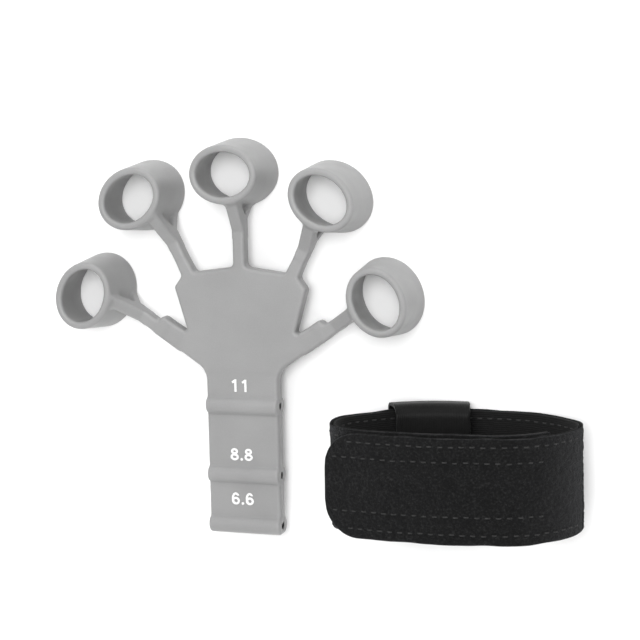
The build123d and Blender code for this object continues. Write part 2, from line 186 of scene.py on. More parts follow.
def oval_distance(u, v, a, b):
    """Return about how far a point is outside an oval of semi-axes a and b."""
    reach = np.sqrt((u / a) ** 2 + (v / b) ** 2)
    slope = np.sqrt((u / a**2) ** 2 + (v / b**2) ** 2)
    return reach * (reach - 1) / np.maximum(slope, 1e-6)


def polygon_distance(x, y, points):
    """Return the signed distance to a closed outline, negative inside."""
    nearest = np.full(np.broadcast(x, y).shape, 1e9)
    inside = np.zeros(nearest.shape, bool)
    for (ax, ay), (bx, by) in zip(points, points[1:] + points[:1]):
        dx, dy = bx - ax, by - ay
        along = np.clip(((x - ax) * dx + (y - ay) * dy) / (dx * dx + dy * dy), 0, 1)
        away = (x - ax - along * dx) ** 2 + (y - ay - along * dy) ** 2
        nearest = np.minimum(nearest, away)
        if ay != by:
            crosses = (ay > y) != (by > y)
            inside ^= crosses & (x < ax + (y - ay) * dx / dy)
    distance = np.sqrt(nearest)
    return np.where(inside, -distance, distance)


def finger_frame(name):
    """Return the finger's arm direction, sideways direction and root, in mm."""
    direction = Vector(JOINTS[f"{name}_stretch"]["axis"])
    side = -1 if name in ("thumb", "index") else 1
    sideways = Vector((side * direction.y, -side * direction.x, 0))
    root = Vector(JOINTS[f"{name}_bend"]["pos_m"]) / MM
    return direction, sideways, root


def along_arm(name, x, y):
    """Return coordinates along the finger's arm from its root, and beside it."""
    direction, sideways, root = finger_frame(name)
    along = (x - root.x) * direction.x + (y - root.y) * direction.y
    beside = (x - root.x) * sideways.x + (y - root.y) * sideways.y
    return along, beside


def loop_centre(name):
    """Return the centre of the finger's hole, in mm."""
    low, high = OPENINGS[f"{name}_hole"]["box_m"]
    return (Vector(low) + Vector(high)) / 2 / MM


def arm_line(name):
    """Return where the gusset starts along the arm from its root, and the arm's side step."""
    direction, _, root = finger_frame(name)
    start = (loop_centre(name) - root).dot(direction) - GUSSET_LENGTH
    shift = OUTER_ARM_SHIFT if name in OUTER_FINGERS else 0.0
    return start, shift


def palm_corners():
    """Return the palm's right-hand corners with their rounding radii, in mm."""
    def stub(name, beside, along):
        direction, sideways, root = finger_frame(name)
        point = root + sideways * beside + direction * along
        return point.x - ORIGIN_X, point.y - ORIGIN_Y

    half_root, half_arm = ROOT_WIDTH / 2, ARM_WIDTH / 2
    return [
        ((STEM_WIDTH / 2, -30.0), 0.0),
        ((STEM_WIDTH / 2, -17.3), 7.0),
        (stub("little", half_root, 3.0), 0.2),
        (stub("little", -half_root, 3.0), 0.2),
        ((21.3, -3.0), 0.7),
        ((26.3, 14.2), 1.5),
        ((23.3, 18.4), 1.6),
        (stub("ring", half_arm, 4.0), 0.2),
        (stub("ring", -half_arm, 4.0), 0.2),
        ((18.0, 20.0), 1.6),
        ((half_arm, 22.1), 2.0),
        ((half_arm, 28.0), 0.2),
    ]


def palm_outline():
    """Return the palm's rounded outline, with a stub for each arm and for the stem."""
    right = palm_corners()
    left = [((-x, y), radius) for (x, y), radius in reversed(right)]
    corners = [(Vector((x + ORIGIN_X, y + ORIGIN_Y)), r) for (x, y), r in right + left]
    outline = []
    for k, (here, radius) in enumerate(corners):
        before = (corners[k - 1][0] - here).normalized()
        after = (corners[(k + 1) % len(corners)][0] - here).normalized()
        outline += [tuple(point) for point in rounded_corner(here, before, after, radius)]
    return outline


def rounded_corner(here, before, after, radius, steps=8):
    """Return the points of an arc that rounds a corner between two directions."""
    half = before.angle(after) / 2
    if radius <= 0 or half > 1.56:
        return [here]
    centre = here + (before + after).normalized() * (radius / sin(half))
    first = here + before * (radius / np.tan(half)) - centre
    last = here + after * (radius / np.tan(half)) - centre
    sweep = first.angle_signed(last)
    x, y, points = first.x, first.y, []
    for k in range(steps + 1):
        angle = -sweep * k / steps
        turned = (x * cos(angle) - y * sin(angle), x * sin(angle) + y * cos(angle))
        points.append(centre + Vector(turned))
    return points


def flat_shape(x, y):
    """Return the plan of the palm, the arms and the stem as one distance."""
    plan = polygon_distance(x, y, palm_outline())
    for name in FINGERS:
        start, shift = arm_line(name)
        along, beside = along_arm(name, x, y)
        end = start + ARM_OVERLAP
        arm = slab(along, -ARM_OVERLAP, end, beside - shift, ARM_WIDTH / 2)
        if name in OUTER_FINGERS:
            bar = slab(along, -ARM_OVERLAP, OUTER_STEP, beside, ROOT_WIDTH / 2, STEP_ROUNDING)
            arm = smooth_min(arm, bar, STEP_FILLET)
        plan = np.minimum(plan, arm)
    end = RIDGES[2] + STEM_INTO_RIDGE
    stem = rounded_pair(np.abs(x - ORIGIN_X) - STEM_WIDTH / 2, end - y, PLAN_CORNER)
    stem = np.maximum(stem, y - STEM_HINGE_Y + STEM_FROM_HINGE)
    return np.minimum(plan, stem)


def slab(along, start, end, beside, half_width, rounding=PLAN_CORNER):
    """Return the distance to a bar between two places along its line, with rounded corners."""
    half_length = (end - start) / 2
    beyond = np.abs(along - (start + end) / 2) - half_length
    return rounded_pair(beyond, np.abs(beside) - half_width, rounding)


def add_plate(field):
    """Add the flat moulding: palm, arms and stem, with rounded edges."""
    high = field.low + (field.count - 1) * field.step
    cut, (x, y, z) = field.window(field.low, high)
    plan = flat_shape(x[:, :, 0], y[:, :, 0])[:, :, None]
    rise = np.abs(z - PLATE_MIDDLE) - PLATE_THICKNESS / 2
    field.value[cut] = rounded_pair(plan, rise, PLATE_EDGE)


def oval_axes(height, inset):
    """Return the semi-axes and shift of every loop's oval at a height."""
    share = height / LOOP_DEPTH
    a, b = (back + (front - back) * share - inset for front, back in zip(FRONT_AXES, BACK_AXES))
    return a, b, FRONT_RIM_SHIFT * (2 * share - 1)


def loop_frame(name, x, y):
    """Return coordinates across and along a loop's axis of symmetry, from its centre."""
    centre = loop_centre(name)
    angle = radians(LOOP_ANGLES[name])
    u = (x - centre.x) * cos(angle) + (y - centre.y) * sin(angle)
    v = (y - centre.y) * cos(angle) - (x - centre.x) * sin(angle)
    return u, v


def loop_wall(name):
    """Return the shape of a finger loop's wall, with rounded rims."""
    def shape(x, y, z):
        u, v = loop_frame(name, x, y)
        a, b, shift = oval_axes(z, LOOP_WALL / 2)
        across = np.abs(oval_distance(u, v - shift, a, b)) - LOOP_WALL / 2
        rise = np.abs(z - LOOP_DEPTH / 2) - LOOP_DEPTH / 2
        return rounded_pair(across, rise, LOOP_RIM)
    return shape


def loop_bore(name):
    """Return the shape of the space inside a finger loop."""
    def shape(x, y, z):
        u, v = loop_frame(name, x, y)
        a, b, shift = oval_axes(z, LOOP_WALL)
        return oval_distance(u, v - shift, a, b)
    return shape


def gusset(name):
    """Return the shape of a gusset: a fork of two ribs with a thin web between them."""
    top, bottom = PLATE_MIDDLE + PLATE_THICKNESS / 2, PLATE_BOTTOM
    start, shift = arm_line(name)
    rim_low, rim_high = GUSSET_RIM_DROP, LOOP_DEPTH - GUSSET_RIM_DROP
    front = GUSSET_LENGTH - GUSSET_FRONT_REACH
    back = GUSSET_LENGTH - GUSSET_BACK_REACH
    outline = [
        (-GUSSET_TAIL, bottom), (-GUSSET_TAIL, top), (0.0, top),
        (front, rim_high), (GUSSET_LENGTH, rim_high), (GUSSET_LENGTH, rim_low),
        (back, rim_low), (GUSSET_BACK_STEP, bottom),
    ]
    inner = GUSSET_LENGTH + GUSSET_NOSE
    pocket_low, pocket_high = POCKET_LOW_RIBS * GUSSET_RIB, LOOP_DEPTH - 2 * GUSSET_RIB
    pocket = [
        (GUSSET_BACK_STEP + GUSSET_RIB, (top + bottom) / 2), (front + GUSSET_RIB, pocket_high),
        (inner, pocket_high), (inner, pocket_low), (back + GUSSET_RIB, pocket_low),
    ]

    def shape(x, y, z):
        along, beside = along_arm(name, x, y)
        along, beside = along - start, beside - shift
        side_view = polygon_distance(along, z, outline)
        hole = polygon_distance(along, z, pocket)
        ribs = rounded_pair(side_view, np.abs(beside) - ARM_WIDTH / 2, GUSSET_ROUNDING)
        ribs = -smooth_min(-ribs, hole, POCKET_EDGE)
        web = np.maximum(side_view + WEB_INSET, np.abs(beside) - GUSSET_WEB / 2)
        return smooth_min(ribs, web, WEB_FILLET)
    return shape


def ridge_lines():
    """Return the middles of the three stop ridges, from the frame's pins."""
    pins = [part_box(f"{place}_ridge_pin") for place in PLACES]
    return [(low.y + high.y) / 2 / MM for low, high in pins]


def ridge(line):
    """Return the shape of a stop ridge across the stem."""
    def shape(x, y, z):
        beyond_y = np.abs(y - line) - RIDGE_HALF_LENGTH
        beyond_z = np.abs(z - PLATE_MIDDLE) - RIDGE_HALF_HEIGHT
        section = rounded_pair(beyond_y, beyond_z, RIDGE_ROUNDING)
        return rounded_pair(section, np.abs(x - ORIGIN_X) - STEM_WIDTH / 2, RIDGE_EDGE)
    return shape


def pin_bore(line):
    """Return the shape of the hole through a stop ridge."""
    def shape(x, y, z):
        round_hole = np.sqrt((y - line) ** 2 + (z - PLATE_MIDDLE) ** 2) - PIN_BORE
        return round_hole + 0 * x
    return shape


def stem_window(line, half, low, high):
    """Return a box across the stem, about a line and between two heights."""
    return (ORIGIN_X - STEM_WINDOW, line - half, low), (ORIGIN_X + STEM_WINDOW, line + half, high)


def moulding_field():
    """Return the distance field of the whole silicone moulding."""
    names = [n for n in frame["nodes"] if n.endswith(("_arm", "_loop")) and n != "keeper_loop"]
    corners = [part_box(n) for n in names + ["palm_plate", "stem_neck", "stem"]]
    low = np.min([list(c[0]) for c in corners], axis=0) / MM - 2
    high = np.max([list(c[1]) for c in corners], axis=0) / MM + 2
    field = Field(low, high, VOXEL)
    add_plate(field)
    for name in FINGERS:
        centre = loop_centre(name)
        reach = GUSSET_LENGTH + 8
        box = ((centre.x - reach, centre.y - reach, -2), (centre.x + reach, centre.y + reach, 24))
        fork, wall = gusset(name), loop_wall(name)
        field.add(*box, lambda *at: smooth_min(fork(*at), wall(*at), LOOP_FILLET), JOIN_FILLET)
        field.carve(*box, loop_bore(name), 0.0)
    for line in RIDGES:
        field.add(*stem_window(line, 6, 2, 19), ridge(line), RIDGE_FILLET)
    for line in RIDGES:
        field.carve(*stem_window(line, 2, 8, 13), pin_bore(line), 0.0)
    return field


# The corners of a grid cell, as steps from its first.
CORNERS = list(np.ndindex(2, 2, 2))


def surface_net(field):
    """Return the points and quads of the field's zero surface."""
    value = field.value
    inside = value < 0
    cells = np.zeros(tuple(n - 1 for n in value.shape), np.uint8)
    for corner in CORNERS:
        cells += inside[tuple(slice(s, s + n) for s, n in zip(corner, cells.shape))]
    active = np.nonzero((cells > 0) & (cells < 8))
    index = np.full(cells.shape, -1, np.int64)
    index[active] = np.arange(len(active[0]))
    total = np.zeros((len(active[0]), 3))
    hits = np.zeros(len(active[0]))
    base = np.stack(active, 1)
    for a in CORNERS:
        for axis in range(3):
            if a[axis]:
                continue
            b = list(a)
            b[axis] = 1
            va = value[tuple((base + a).T)].astype(float)
            vb = value[tuple((base + b).T)].astype(float)
            crossed = (va < 0) != (vb < 0)
            share = np.where(crossed, va / np.where(crossed, va - vb, 1), 0)
            point = np.array(a, float)[None].repeat(len(base), 0)
            point[:, axis] += share
            total += point * crossed[:, None]
            hits += crossed
    points = field.low + field.step * (base + total / hits[:, None])
    quads = []
    for axis in range(3):
        one, two = (axis + 1) % 3, (axis + 2) % 3
        a, b = np.delete(inside, -1, axis), np.delete(inside, 0, axis)
        where = np.stack(np.nonzero(a != b), 1)
        where = where[(where[:, one] > 0) & (where[:, two] > 0)]
        up = a[tuple(where.T)]
        corners = []
        for step_one, step_two in ((1, 1), (0, 1), (0, 0), (1, 0)):
            cell = where.copy()
            cell[:, one] -= step_one
            cell[:, two] -= step_two
            corners.append(index[tuple(cell.T)])
        quad = np.stack(corners, 1)
        quad[~up] = quad[~up][:, ::-1]
        quads.append(quad)
    return points, np.concatenate(quads)


def sample(array, field, points):
    """Return an array's values at points, linearly between its own."""
    place = (points - field.low) / field.step
    base = np.clip(np.floor(place).astype(int), 0, field.count - 2)
    share = place - base
    result = 0
    for i, j, k in CORNERS:
        weight = np.ones(len(points))
        for axis, bit in enumerate((i, j, k)):
            weight = weight * (share[:, axis] if bit else 1 - share[:, axis])
        corner = array[base[:, 0] + i, base[:, 1] + j, base[:, 2] + k]
        result = result + corner * weight.reshape((-1,) + (1,) * (corner.ndim - 1))
    return result


def settle(points, field):
    """Move points onto the zero surface, and return them with the surface's normals."""
    slope = np.stack(np.gradient(field.value, field.step), -1).astype(np.float32)
    for _ in range(3):
        normal = sample(slope, field, points)
        size = np.maximum((normal**2).sum(1), 0.05)
        move = -sample(field.value, field, points) / size
        points = points + np.clip(move, -VOXEL / 3, VOXEL / 3)[:, None] * normal
    normal = sample(slope, field, points)
    return points, normal / np.maximum(np.linalg.norm(normal, axis=1), 1e-6)[:, None]


def show(name, data):
    """Return a new object in the scene that shows a mesh, a light or a camera."""
    item = bpy.data.objects.new(name, data)
    bpy.context.scene.collection.objects.link(item)
    return item


def make_piece(name, points, faces, normals=None):
    """Return a new smooth mesh object from points in mm and faces."""
    used, flat = np.unique(faces, return_inverse=True)
    mesh = bpy.data.meshes.new(name)
    mesh.from_pydata((points[used] * MM).tolist(), [], flat.reshape(faces.shape).tolist())
    mesh.shade_smooth()
    if normals is not None:
        mesh.normals_split_custom_set_from_vertices(normals[used].tolist())
    return show(name, mesh)


def silicone_regions(centres):
    """Return the name of the piece that each face of the moulding belongs to."""
    region = np.full(len(centres), "palm_skin", dtype="U24")
    for name in FINGERS:
        direction, sideways, root = finger_frame(name)
        away = centres - np.array(root)
        along = away @ np.array(direction)
        beside = np.abs(away @ np.array(sideways))
        start, _ = arm_line(name)
        width = ROOT_WIDTH if name in OUTER_FINGERS else ARM_WIDTH
        near = beside < width / 2 + ROOT_MARGIN
        region[near & (along > BEND_FROM) & (along < SEAM)] = f"{name}_arm_skin"
        beyond = (along >= SEAM) & ((beside < LOOP_SIDE) | (along > start))
        region[beyond & near_finger(centres, name)] = f"{name}_loop_skin"
    region[centres[:, 1] < NECK_FROM] = "neck_skin"
    region[centres[:, 1] < NECK_SEAM] = "stem_skin"
    return region


def near_finger(centres, name):
    """Return which points lie nearer to this finger's arm and loop than to the others'."""
    distances = []
    for other in FINGERS:
        _, _, root = finger_frame(other)
        line = np.array(loop_centre(other) - root)[:2]
        away = centres[:, :2] - np.array(root)[:2]
        along = np.clip(away @ line / (line @ line), 0, 1)
        distances.append(np.linalg.norm(away - along[:, None] * line, axis=1))
    nearest = np.argmin(distances, axis=0)
    return nearest == FINGERS.index(name)


# Along the stem: where it bends, and where it stretches, as places on Y.
RIDGES = ridge_lines()
NECK_FROM = STEM_HINGE_Y + 1.4
NECK_SEAM = RIDGES[0] - RIDGE_HALF_LENGTH - 0.4


def make_silicone():
    """Return the pieces of the moulding, cut where it bends and stretches."""
    field = moulding_field()
    points, faces = surface_net(field)
    points, normals = settle(points, field)
    region = silicone_regions(points[faces].mean(axis=1))
    pieces = {}
    for name in sorted(set(region)):
        pieces[name] = make_piece(name, points, faces[region == name], normals)
    return pieces


silicone = make_silicone()


def place_silicone():
    """Let the palm's piece of the moulding ride on its body; the other pieces stay where they are
    made.
    """
    def at(y):
        return (ORIGIN_X * MM, y * MM, PLATE_MIDDLE * MM)

    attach(silicone["palm_skin"], "palm")
    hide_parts("palm_plate")
    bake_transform(silicone["neck_skin"])
    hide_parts("stem_neck")
    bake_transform(silicone["stem_skin"])
    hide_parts("stem")
    for name in FINGERS:
        arm, loop = silicone[f"{name}_arm_skin"], silicone[f"{name}_loop_skin"]
        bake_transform(arm)
        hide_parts(f"{name}_arm")
        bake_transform(loop)
        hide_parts(f"{name}_loop")


place_silicone()


# ---------------------------------------------------------------- the strap, in mm
CLOTH, FOAM = 0.5, 0.9
BAND_THICKNESS = 2 * CLOTH + FOAM
KEEPER_THICKNESS, KEEPER_CLEARANCE = 1.0, 0.1
BAND_MIDDLE_Z = KEEPER_THICKNESS + KEEPER_CLEARANCE + BAND_THICKNESS / 2
FLAT_LEFT_X, FLAT_RIGHT_X = 81.6, 96.7
LOWER_LEFT_RADIUS, LOWER_RIGHT_RADIUS = 44.4, 41.6
RIGHT_TURN_RADIUS, LEFT_TURN_RADIUS = 8.0, 15.9
UPPER_RIGHT_RADIUS, UPPER_LEFT_RADIUS = 30.0, 157.5
RIGHT_TURN_HEADING, TAIL_HEADING = 49.5, 95.3
CROWN_HEADING, TAIL_END_HEADING = 169.8, 192.4
INNER_END_HEADING = 125.0
HOOK_HEADINGS = (136.0, 189.0)
HOOK_THICKNESS, HOOK_WIDTH = 1.2, 20.0
LAP = BAND_THICKNESS + HOOK_THICKNESS + 0.9
TAIL_CORNER = 13.0
KEEPER_HEADING, KEEPER_FLAT, KEEPER_TUNNEL, KEEPER_END_ROOM = 326.0, 4.9, 6.5, 3.0
KEEPER_SHIFT = -1.2
KEEPER_INNER_CORNER, KEEPER_OUTER_CORNER = 4.2, 2.2
PEEL_LENGTH = 8.0
WALK_STEP = 0.4
END_ROUNDING = 0.5

# The cloth's unevenness, and its sewing, inset from a band's high and low edges.
CLOTH_PILE, CLOTH_STEP = 0.13, 0.45
PLAIN_PILE, PLAIN_STEP = 0.03, 0.8
FOAM_INSET = 0.18
RAGGED_EDGE, RAGGED_CELL = 0.22, 7.0
WAVE_HEIGHT, WAVE_CELL, WAVE_SEED, WAVE_START = 0.28, 19.0, 40, 8
HOOK_STEP, HOOK_NAP = 0.5, 0.16
STITCH_PITCH, STITCH_LENGTH, STITCH_RADIUS = 3.7, 1.9, 0.26
STRAP_SEAMS, TAIL_SEAMS, PATCH_SEAMS = (3.0, 3.4), (3.0, 3.6), (8.6, 9.9)
STRAP_LOW_Y, STRAP_HIGH_Y = (corner.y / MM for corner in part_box("strap_cloth"))
TAIL_LOW_Y, TAIL_HIGH_Y = (corner.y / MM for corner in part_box("tail_cloth"))
TAIL_MIDDLE_Y = (TAIL_LOW_Y + TAIL_HIGH_Y) / 2


def turn_end(centre, radius, heading):
    """Return the point where an anticlockwise arc has the given heading."""
    angle = radians(heading)
    return (centre[0] + radius * sin(angle), centre[1] - radius * cos(angle))


def next_centre(centre, radius, heading, new_radius):
    """Return the centre of the arc that carries on from another at a heading."""
    x, z = turn_end(centre, radius, heading)
    angle = radians(heading)
    return (x - new_radius * sin(angle), z + new_radius * cos(angle))


def strap_runs():
    """Return the arcs of loop, tail, hook patch and keeper: centre, radius, headings."""
    lower_left = (FLAT_LEFT_X, BAND_MIDDLE_Z + LOWER_LEFT_RADIUS)
    lower_right = (FLAT_RIGHT_X, BAND_MIDDLE_Z + LOWER_RIGHT_RADIUS)
    right = next_centre(lower_right, LOWER_RIGHT_RADIUS, RIGHT_TURN_HEADING, RIGHT_TURN_RADIUS)
    upper_right = next_centre(right, RIGHT_TURN_RADIUS, TAIL_HEADING, UPPER_RIGHT_RADIUS)
    upper_left = next_centre(upper_right, UPPER_RIGHT_RADIUS, CROWN_HEADING, UPPER_LEFT_RADIUS)
    left, left_in, left_out = left_turn(lower_left, upper_left)

    def upper(start, end, drop=0.0):
        return [
            (upper_right, UPPER_RIGHT_RADIUS - drop, start, CROWN_HEADING),
            (upper_left, UPPER_LEFT_RADIUS - drop, CROWN_HEADING, end),
        ]

    loop = upper(INNER_END_HEADING, left_in, LAP) + [
        (left, LEFT_TURN_RADIUS, left_in, left_out),
        (lower_left, LOWER_LEFT_RADIUS, left_out, 360),
        (lower_right, LOWER_RIGHT_RADIUS, 0, RIGHT_TURN_HEADING),
        (right, RIGHT_TURN_RADIUS, RIGHT_TURN_HEADING, TAIL_HEADING),
    ]
    keeper = [
        (lower_left, LOWER_LEFT_RADIUS, KEEPER_HEADING, 360),
        (lower_right, LOWER_RIGHT_RADIUS, 0, 1),
    ]
    return loop, upper(TAIL_HEADING, TAIL_END_HEADING), upper(*HOOK_HEADINGS), keeper


def left_turn(lower_left, upper_left):
    """Return the left turn's centre and headings, tangent to the arcs beside it."""
    reach_up = UPPER_LEFT_RADIUS - LAP - LEFT_TURN_RADIUS
    reach_low = LOWER_LEFT_RADIUS - LEFT_TURN_RADIUS
    low, high = Vector(lower_left), Vector(upper_left)
    gap = (low - high).length
    along = (reach_up**2 - reach_low**2 + gap**2) / (2 * gap)
    unit = (low - high) / gap
    point = high + unit * along + Vector((-unit.y, unit.x)) * sqrt(reach_up**2 - along**2)
    headings = [90 + degrees(np.arctan2(*(point - c).yx)) % 360 for c in (high, low)]
    return tuple(point), *headings


class Walk:
    """A way along a chain of arcs: places, outward normals and lengths along it."""

    def __init__(self, runs):
        self.place, self.normal, self.length = [], [], []
        gone = 0.0
        for centre, radius, start, end in runs:
            x, z = turn_end(centre, radius, start)
            if self.place:
                gone += np.hypot(x + ORIGIN_X - self.place[-1][0], z - self.place[-1][1])
            arc = radius * radians(end - start)
            for share in np.linspace(0, 1, max(3, round(arc / WALK_STEP))):
                heading = start + share * (end - start)
                x, z = turn_end(centre, radius, heading)
                self.place.append((x + ORIGIN_X, z))
                self.normal.append((sin(radians(heading)), -cos(radians(heading))))
                self.length.append(gone + share * arc)
            gone += arc
        self.place, self.normal = np.array(self.place), np.array(self.normal)
        self.length = np.array(self.length)

    def at(self, length, y, offset):
        """Return points at lengths along the way, at y, and offset outwards."""
        columns = (*self.place.T, *self.normal.T)
        x, z, across, up = [np.interp(length, self.length, column) for column in columns]
        y = np.broadcast_to(y, np.broadcast(length, y, offset).shape)
        return np.stack(np.broadcast_arrays(x + offset * across, y, z + offset * up), -1)


def bumps(u, v, cell, seed):
    """Return smooth noise from -1 to 1 over two coordinates, with bumps a cell apart."""
    table = np.random.default_rng(seed).uniform(-1, 1, (256, 256))
    u, v = np.broadcast_arrays(np.asarray(u) / cell + 300, np.asarray(v) / cell + 300)
    i, j = np.floor(u).astype(int), np.floor(v).astype(int)
    p, q = u - i, v - j
    p, q = p * p * (3 - 2 * p), q * q * (3 - 2 * q)
    near = table[i % 256, j % 256] * (1 - q) + table[i % 256, (j + 1) % 256] * q
    far = table[(i + 1) % 256, j % 256] * (1 - q) + table[(i + 1) % 256, (j + 1) % 256] * q
    return near * (1 - p) + far * p


def waviness(length, y):
    """Return how far a band waves outwards, growing from nothing at its first end."""
    return WAVE_HEIGHT * bumps(length, y, WAVE_CELL, WAVE_SEED) * np.clip(length / WAVE_START, 0, 1)


def quads_between(one, two):
    """Return the quads between closed rings of point numbers and the rings that follow them."""
    return np.stack([one, np.roll(one, -1, 1), np.roll(two, -1, 1), two], -1).reshape(-1, 4)


def ribbon(name, along, across, place, edge, closed=False):
    """Return a solid ribbon. place turns along, and across and level (-1 to 1), into points."""
    rounding = np.clip((np.abs(across) - (1 - edge)) / edge, 0, 1)
    level = np.sqrt(1 - rounding**2)
    if not closed:
        end = np.minimum(along - along[0], along[-1] - along) / END_ROUNDING
        level = level * np.sqrt(np.clip(end, 0.02, 1))[:, None]
    else:
        level = np.broadcast_to(level, (len(along), len(across)))
    upper = place(along[:, None], across[None, :], level)
    lower = place(along[:, None], across[None, :], -level)
    count = len(across)
    points = np.concatenate([upper, lower[:, ::-1][:, 1:-1]], axis=1)
    around = points.shape[1]
    stations = len(along)
    index = np.arange(stations * around).reshape(stations, around)
    last = index if closed else index[:-1]
    following = np.roll(index, -1, axis=0) if closed else index[1:]
    faces = quads_between(last, following)
    if not closed:
        top = np.arange(count)
        under = (around - top) % around
        cap = np.stack([top[:-1], under[:-1], under[1:], top[1:]], -1)[1:-1]
        faces = np.concatenate([faces, index[0][cap], index[-1][cap][:, ::-1]])
    return make_piece(name, points.reshape(-1, 3), faces)


def band_layer(name, walk, y_span, levels, pile, step, corner, seed):
    """Return one layer of a band along a walk, with pile on its outer face."""
    low_y, high_y = y_span
    middle_y, half = (low_y + high_y) / 2, (high_y - low_y) / 2
    total = walk.length[-1]
    along = np.linspace(0, total, round(total / step))
    across = np.linspace(-1, 1, round(2 * half / step))
    middle, thick = (levels[0] + levels[1]) / 2, (levels[1] - levels[0]) / 2

    def place(length, side, level):
        reach = np.clip(corner - (total - length), 0, corner)
        half_here = half
        if corner:
            half_here = half - corner + np.sqrt(np.maximum(corner**2 - reach**2, 0))
        ragged = RAGGED_EDGE * bumps(length, 0 * side, RAGGED_CELL, seed) * side**4
        y = middle_y + side * half_here + ragged
        offset = middle + level * thick
        fuzz = bumps(length, y, 0.8, seed + 1) + 0.6 * bumps(length, y, 1.9, seed + 2)
        return walk.at(length, y, offset + waviness(length, y) + pile * fuzz * (level > 0.3))

    return ribbon(name, along, across, place, thick / half)


def stitches(name, rows):
    """Return rows of sewn stitches. Each gives a walk, its span, y, offset and outward side."""
    ring = 6
    lift = np.array([-0.7, 0.45, 0.8, 0.45, -0.7])
    points, faces = [], []
    for walk, span, y, offset, outward in rows:
        for k, start in enumerate(np.arange(*span, STITCH_PITCH)):
            jitter = 0.18 * bumps(start, y, 2.3, 9)
            length = (start + STITCH_LENGTH * np.linspace(0, 1, len(lift)))[:, None]
            turn = 2 * pi * np.arange(ring) / ring
            tall = offset + outward * STITCH_RADIUS * (lift[:, None] + 0.8 * np.sin(turn))
            wide = y + jitter + 0.04 * k % 0.1 + STITCH_RADIUS * np.cos(turn)[None, :]
            base = sum(len(part) for part in points)
            points.append(walk.at(length, wide, tall + waviness(length, y)).reshape(-1, 3))
            index = base + np.arange(len(lift) * ring).reshape(len(lift), ring)
            faces.append(quads_between(index[:-1], index[1:]))
            faces.append(index[0][[[0, 1, 2, 3], [0, 3, 4, 5]]])
            faces.append(index[-1][[[3, 2, 1, 0], [5, 4, 3, 0]]])
    return make_piece(name, np.concatenate(points), np.concatenate(faces))


def turn_over_peel(piece, walk):
    """Keep a piece of the tail fixed where it is made, where it leaves the strap."""
    start, end = (walk.at(length, TAIL_MIDDLE_Y, 0.0) * MM for length in (0.0, PEEL_LENGTH))
    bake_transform(piece)


def make_band(prefix, runs, y_span, corner, seed):
    """Return the three layers of the loop or of its tail, and the walk they follow."""
    walk = Walk(runs)
    edges = (-BAND_THICKNESS / 2, -FOAM / 2, FOAM / 2, BAND_THICKNESS / 2)
    pieces = {}
    for k, layer in enumerate(("lining", "foam", "cloth")):
        node = f"{prefix}_{layer}"
        inset = FOAM_INSET if layer == "foam" else 0.0
        y_here = (y_span[0] + inset, y_span[1] - inset)
        pile, step = (CLOTH_PILE, CLOTH_STEP) if layer == "cloth" else (PLAIN_PILE, PLAIN_STEP)
        piece = band_layer(f"{node}_visual", walk, y_here, edges[k:k + 2], pile, step, corner, seed)
        if prefix == "tail":
            turn_over_peel(piece, walk)
        else:
            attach(piece, prefix)
        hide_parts(node)
        pieces[layer] = piece
    return pieces, walk


def make_hook(runs):
    """Return the hook patch under the tail, with rows of small stiff hooks."""
    walk = Walk(runs)
    total = walk.length[-1]
    along = np.linspace(0, total, round(total / HOOK_STEP))
    across = np.linspace(-1, 1, 41)

    def place(length, side, level):
        y = TAIL_MIDDLE_Y + side * HOOK_WIDTH / 2
        offset = -BAND_THICKNESS / 2 - HOOK_THICKNESS / 2 + level * HOOK_THICKNESS / 2
        nap = HOOK_NAP * np.sin(length * 4.1) * np.sin(y * 4.3) * (level < -0.3)
        return walk.at(length, y, offset + nap)

    piece = ribbon("tail_hook_visual", along, across, place, 0.04)
    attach(piece, "tail")
    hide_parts("tail_hook_patch")
    return piece


def keeper_section(count):
    """Return the middle line of the keeper's webbing round the strap: y and offset."""
    half = (STRAP_HIGH_Y - STRAP_LOW_Y) / 2 + KEEPER_END_ROOM - KEEPER_THICKNESS / 2
    inner = -(BAND_THICKNESS / 2 + KEEPER_TUNNEL + KEEPER_THICKNESS / 2)
    outer = BAND_THICKNESS / 2 + KEEPER_CLEARANCE + KEEPER_THICKNESS / 2
    wide, tight = KEEPER_INNER_CORNER, KEEPER_OUTER_CORNER
    turns = [
        (half - wide, inner + wide, wide, 90), (-half + wide, inner + wide, wide, 180),
        (-half + tight, outer - tight, tight, 270), (half - tight, outer - tight, tight, 360),
    ]
    line = []
    for y, offset, radius, angle in turns:
        for share in np.linspace(0, 1, 9):
            turn = radians(angle - 90 + 90 * share)
            line.append((y + radius * cos(turn), offset - radius * sin(turn)))
    line = np.array(line + line[:1])
    length = np.concatenate([[0], np.cumsum(np.linalg.norm(np.diff(line, axis=0), axis=1))])
    at = np.linspace(0, length[-1], count, endpoint=False)
    return np.stack([np.interp(at, length, column) for column in line.T], -1)


